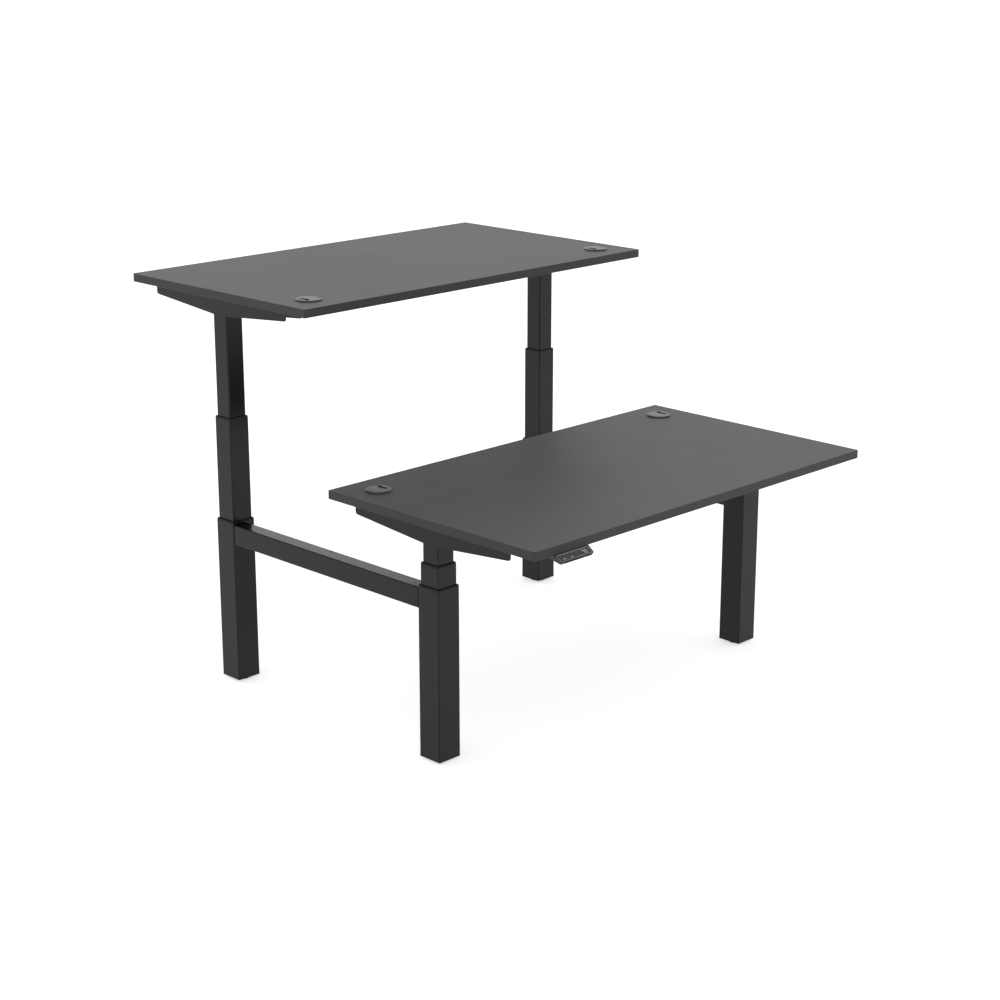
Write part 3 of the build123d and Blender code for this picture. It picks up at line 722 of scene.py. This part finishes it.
def makeHandsetTrim(desk):
    face, depth = handsetFace(desk)
    width, trim, border = handset["width"], handset["trimWidth"], handset["border"]
    bm = bmesh.new()
    sweepClosed(bm, roundedPath(width - 2 * border, depth - 2 * border, handset["corner"]),
                [(-trim, -handset["recess"] - 0.1 * mm), (0.15 * mm, -0.3 * mm), (0.15 * mm, 0.1 * mm),
                 (-0.1 * mm, 0.22 * mm), (-trim * 0.6, 0.05 * mm)])
    newPiece(desk + "_handset_trim", bm, desk + "_desk", "satinTrim", face)
    # a near-black strip below the face's front edge: painted shade for the shadowed recess there
    noseShade = bmesh.new()
    rim = roundedPath(handset["noseLength"], handset["noseHeight"], 1.6 * mm)
    addPlate(noseShade, [tuple(point) for point, _ in rim], -0.3 * mm, 0.35 * mm)
    front = [edge for edge in noseShade.edges if all(v.co.z > 0.3 * mm for v in edge.verts)]
    bmesh.ops.bevel(noseShade, geom=front, offset=0.2 * mm, segments=2, profile=0.5, affect="EDGES")
    forward = Matrix.Translation((0, -depth / 2, -3.4 * mm)) @ Matrix.Rotation(math.radians(90), 4, "X")
    newPiece(desk + "_handset_nose_shade", noseShade, desk + "_desk", "paintedShadeRubber", face @ forward)


def markMesh(mark):
    # a printed sign about 4 mm high, centred at the origin, with a little thickness
    thick = handset["markThick"]
    if mark in "123":
        text = bpy.data.curves.new("numeral", "FONT")
        text.body, text.size, text.extrude = mark, 4.4 * mm, thick / 2
        text.align_x, text.align_y = "CENTER", "CENTER"
        holder = bpy.data.objects.new("numeral", text)
        bpy.context.scene.collection.objects.link(holder)
        bpy.context.view_layer.update()
        graph = bpy.context.evaluated_depsgraph_get()
        mesh = bpy.data.meshes.new_from_object(holder.evaluated_get(graph), depsgraph=graph)
        bpy.data.objects.remove(holder)
        return mesh
    bm = bmesh.new()
    if mark == "ring":
        addLathe(bm, [(1.1 * mm, -thick / 2), (1.6 * mm, -thick / 2), (1.6 * mm, thick / 2),
                      (1.1 * mm, thick / 2)], 24)
    else:
        tip = 2.4 * mm if mark == "up" else -2.4 * mm
        outline = [(-4.6 * mm, -tip / 2), (0, tip), (4.6 * mm, -tip / 2), (2.6 * mm, -tip / 2),
                   (0, tip / 3), (-2.6 * mm, -tip / 2)]
        addPlate(bm, outline, -thick / 2, thick / 2)
        bmesh.ops.recalc_face_normals(bm, faces=bm.faces)
    mesh = bpy.data.meshes.new("mark")
    bm.to_mesh(mesh)
    bm.free()
    return mesh


def makeKeyMarks(desk):
    face, _ = handsetFace(desk)
    for key, mark in keyMarks.items():
        body = desk + "_" + key
        low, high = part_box(body)
        local = face.inverted() @ ((low + high) / 2)
        place = face @ Matrix.Translation((local.x, local.y, handset["keyTop"] + 0.02 * mm))
        newPiece(body + "_mark", markMesh(mark), body, "printedMark", place)


for desk in deskNames:
    makeDisplay(desk)
    makeHandsetTrim(desk)
    makeKeyMarks(desk)
print("handsets finished")


# gearmotors: flange, bands, end boss and lead socket

motor = {"radius": 20 * mm, "flange": 23.5 * mm, "capLength": 14 * mm, "bandPitch": 6 * mm,
         "length": 115 * mm, "fromColumn": 27 * mm, "belowTop": 26 * mm, "socketPlace": 92 * mm,
         "socketSize": (16 * mm, 11 * mm, 8 * mm)}


def makeMotorTrim(desk, side):
    low, high = deskBox(desk, "gearmotors")
    across = -1 if side == "left" else 1
    column = deskBox(desk, side + "_inner_column")
    gearboxFace = (column[0].x + column[1].x) / 2 - across * motor["fromColumn"]
    middleY = (low.y + high.y) / 2
    height = deskBox(desk, "desktop")[0].z - motor["belowTop"]
    # local Z runs along the motor, from the gearbox inwards
    along = Matrix.Translation((gearboxFace, middleY, height)) @ Matrix.Rotation(
        math.radians(-90 * across), 4, "Y")
    radius, flange = motor["radius"], motor["flange"]
    bm = bmesh.new()
    addLathe(bm, [(radius - 1 * mm, 2.6 * mm), (flange - 0.6 * mm, 2.6 * mm), (flange, 3.2 * mm),
                  (flange, 6.0 * mm), (flange - 0.6 * mm, 6.6 * mm), (radius - 1 * mm, 6.6 * mm)])
    end = motor["length"]
    for start in (end - motor["capLength"], end - motor["capLength"] - motor["bandPitch"]):
        inside, outside = radius - 0.5 * mm, radius + 0.7 * mm
        finish = start + 3 * mm
        addLathe(bm, [(inside, start), (outside, start), (outside, finish), (inside, finish)])
    addLathe(bm, [(4 * mm, end - 0.5 * mm), (8 * mm, end - 0.5 * mm), (7.4 * mm, end + 2.2 * mm),
                  (4 * mm, end + 2.2 * mm)])
    newPiece(desk + "_" + side + "_motor_trim", bm, desk + "_desk", "motor_casing",
             turns[desk] @ along)
    width, length, tall = motor["socketSize"]
    plug = bmesh.new()
    outline = [tuple(point) for point, _ in roundedPath(length, width, 1.5 * mm)]
    addPlate(plug, outline, 0, tall)
    lid = max(plug.faces, key=lambda face: face.calc_center_median().z)
    bmesh.ops.inset_region(plug, faces=[lid], thickness=1.6 * mm)
    bmesh.ops.translate(plug, verts=lid.verts, vec=(0, 0, -5 * mm))
    down = Matrix.Translation((0, 0, motor["socketPlace"])) @ Matrix.Rotation(
        math.radians(-90 * across), 4, "Y")
    lowered = Matrix.Translation((0, 0, radius - 1.5 * mm))
    newPiece(desk + "_" + side + "_motor_socket", plug, desk + "_desk", "glide_plastic",
             turns[desk] @ along @ down @ lowered)


for desk in deskNames:
    for side in sideNames:
        makeMotorTrim(desk, side)
print("gearmotors finished")


# control boxes: cooling slats, sockets, a lid seam and fixing ears

controlBox = {"slats": 16, "slatPitch": 6 * mm, "slatLength": 40 * mm, "slatSize": (2.2 * mm, 1.6 * mm),
              "sockets": 4, "socketPitch": 34 * mm, "socketSize": (20 * mm, 13 * mm), "seamLift": 5 * mm,
              "corner": 8 * mm, "ear": (16 * mm, 24 * mm, 3 * mm)}


def makeControlTrim(desk):
    low, high = deskBox(desk, "control_box")
    middle = (low + high) / 2
    body = desk + "_desk"
    slats = grow(slatTree, {"Count": controlBox["slats"], "Pitch": controlBox["slatPitch"],
                            "Slat width": controlBox["slatSize"][0],
                            "Slat length": controlBox["slatLength"],
                            "Slat height": controlBox["slatSize"][1]}, "glide_plastic")
    newPiece(desk + "_control_slats", slats, body, "glide_plastic",
             turns[desk] @ Matrix.Translation((middle.x, middle.y, low.z - 0.3 * mm)))
    seam = bmesh.new()
    sweepClosed(seam, roundedPath(high.x - low.x, high.y - low.y, controlBox["corner"]),
                [(-0.6 * mm, -0.8 * mm), (0.5 * mm, -0.8 * mm), (0.7 * mm, 0), (0.5 * mm, 0.8 * mm),
                 (-0.6 * mm, 0.8 * mm)])
    newPiece(desk + "_control_seam", seam, body, "glide_plastic",
             turns[desk] @ Matrix.Translation((middle.x, middle.y, middle.z + controlBox["seamLift"])))
    sockets = bmesh.new()
    for place in range(controlBox["sockets"]):
        shift = (place - (controlBox["sockets"] - 1) / 2) * controlBox["socketPitch"]
        rim = roundedPath(*controlBox["socketSize"], 1.5 * mm)
        outline = [(point.x + shift, point.y) for point, _ in rim]
        before = set(sockets.faces)
        addPlate(sockets, outline, -0.5 * mm, 1.6 * mm)
        made = [face for face in sockets.faces if face not in before]
        lid = max(made, key=lambda face: face.calc_center_median().z)
        bmesh.ops.inset_region(sockets, faces=[lid], thickness=1.5 * mm)
        bmesh.ops.translate(sockets, verts=lid.verts, vec=(0, 0, -1.9 * mm))
    backwards = Matrix.Translation((middle.x, high.y, middle.z - 3 * mm)) @ Matrix.Rotation(
        math.radians(-90), 4, "X")
    newPiece(desk + "_control_sockets", sockets, body, "motor_casing",
             turns[desk] @ backwards)
    ears, points = bmesh.new(), []
    reach, across, thick = controlBox["ear"]
    for end in (-1, 1):
        x = (low.x if end < 0 else high.x) + end * (reach / 2 - 1 * mm)
        outline = [(point.x + x, point.y + middle.y) for point, _ in roundedPath(reach, across, 4 * mm)]
        addPlate(ears, outline, high.z - thick, high.z)
        points.append((turns[desk] @ Vector((x + end * 2 * mm, middle.y, high.z - thick)), (0, 0, -1)))
    newPiece(desk + "_control_ears", ears, body, "glide_plastic", turns[desk])
    mesh = grow(screwTree, dict(screws, **{"Head radius": 4 * mm, "Head height": 2.4 * mm,
                                           "Socket radius": 1.8 * mm, "Shank length": 2.5 * mm}),
                "zinc_steel", points)
    newPiece(desk + "_control_screws", mesh, body, "zinc_steel")


for desk in deskNames:
    makeControlTrim(desk)
print("control boxes finished")


# floor, light and camera

studio = {"floorSize": 900.0, "floorShade": (0.72, 0.72, 0.72), "floorGlow": 0.60, "skyStrength": 0.9,
          "skyBands": ((0.0, 1.14), (0.20, 1.14), (0.34, 1.45), (0.46, 1.60), (0.60, 0.95), (1.0, 0.75))}
viewpoint = {"place": (-4.2576, -4.2424, 2.3004), "heading": 44.74, "dip": 16.54, "lens": 73.7}


def makeFloor():
    bm = bmesh.new()
    bmesh.ops.create_grid(bm, x_segments=1, y_segments=1, size=studio["floorSize"] / 2)
    mesh = bpy.data.meshes.new("floor")
    bm.to_mesh(mesh)
    bm.free()
    floor = bpy.data.objects.new("floor", mesh)
    bpy.context.scene.collection.objects.link(floor)
    paint = bpy.data.materials.new("floor")
    paint.use_nodes = True
    shader = paint.node_tree.nodes["Principled BSDF"]
    shader.inputs["Base Color"].default_value = opaque(studio["floorShade"])
    shader.inputs["Roughness"].default_value = 0.9
    shader.inputs["Specular IOR Level"].default_value = 0.0
    shader.inputs["Emission Color"].default_value = (1, 1, 1, 1)
    shader.inputs["Emission Strength"].default_value = studio["floorGlow"]
    mesh.materials.append(paint)


def makeSky():
    # soft bands of light, brightest some way above the horizon as a ring of softboxes would be
    world = bpy.data.worlds.new("studio")
    world.use_nodes = True
    tree = world.node_tree
    direction = addNode(tree, "ShaderNodeTexCoord").outputs["Generated"]
    height = addNode(tree, "ShaderNodeSeparateXYZ", None, Vector=direction).outputs["Z"]
    ramp = addNode(tree, "ShaderNodeValToRGB", None, Fac=height)
    top = max(value for _, value in studio["skyBands"])
    stops = ramp.color_ramp.elements
    while len(stops) < len(studio["skyBands"]):
        stops.new(0.5)
    for stop, (position, value) in zip(stops, studio["skyBands"]):
        stop.position = position
        stop.color = opaque((value / top,) * 3)
    sky = tree.nodes["Background"]
    tree.links.new(ramp.outputs["Color"], sky.inputs["Color"])
    sky.inputs["Strength"].default_value = studio["skyStrength"] * top
    bpy.context.scene.world = world
    bpy.context.scene.view_settings.view_transform = "Standard"


def makeCamera():
    lens = bpy.data.cameras.new("camera")
    lens.lens = viewpoint["lens"]
    camera = bpy.data.objects.new("camera", lens)
    camera.location = viewpoint["place"]
    camera.rotation_euler = (math.radians(90 - viewpoint["dip"]), 0,
                             math.radians(viewpoint["heading"] - 90))
    bpy.context.scene.collection.objects.link(camera)
    bpy.context.scene.camera = camera


makeFloor()
makeSky()
makeCamera()
print("studio ready")
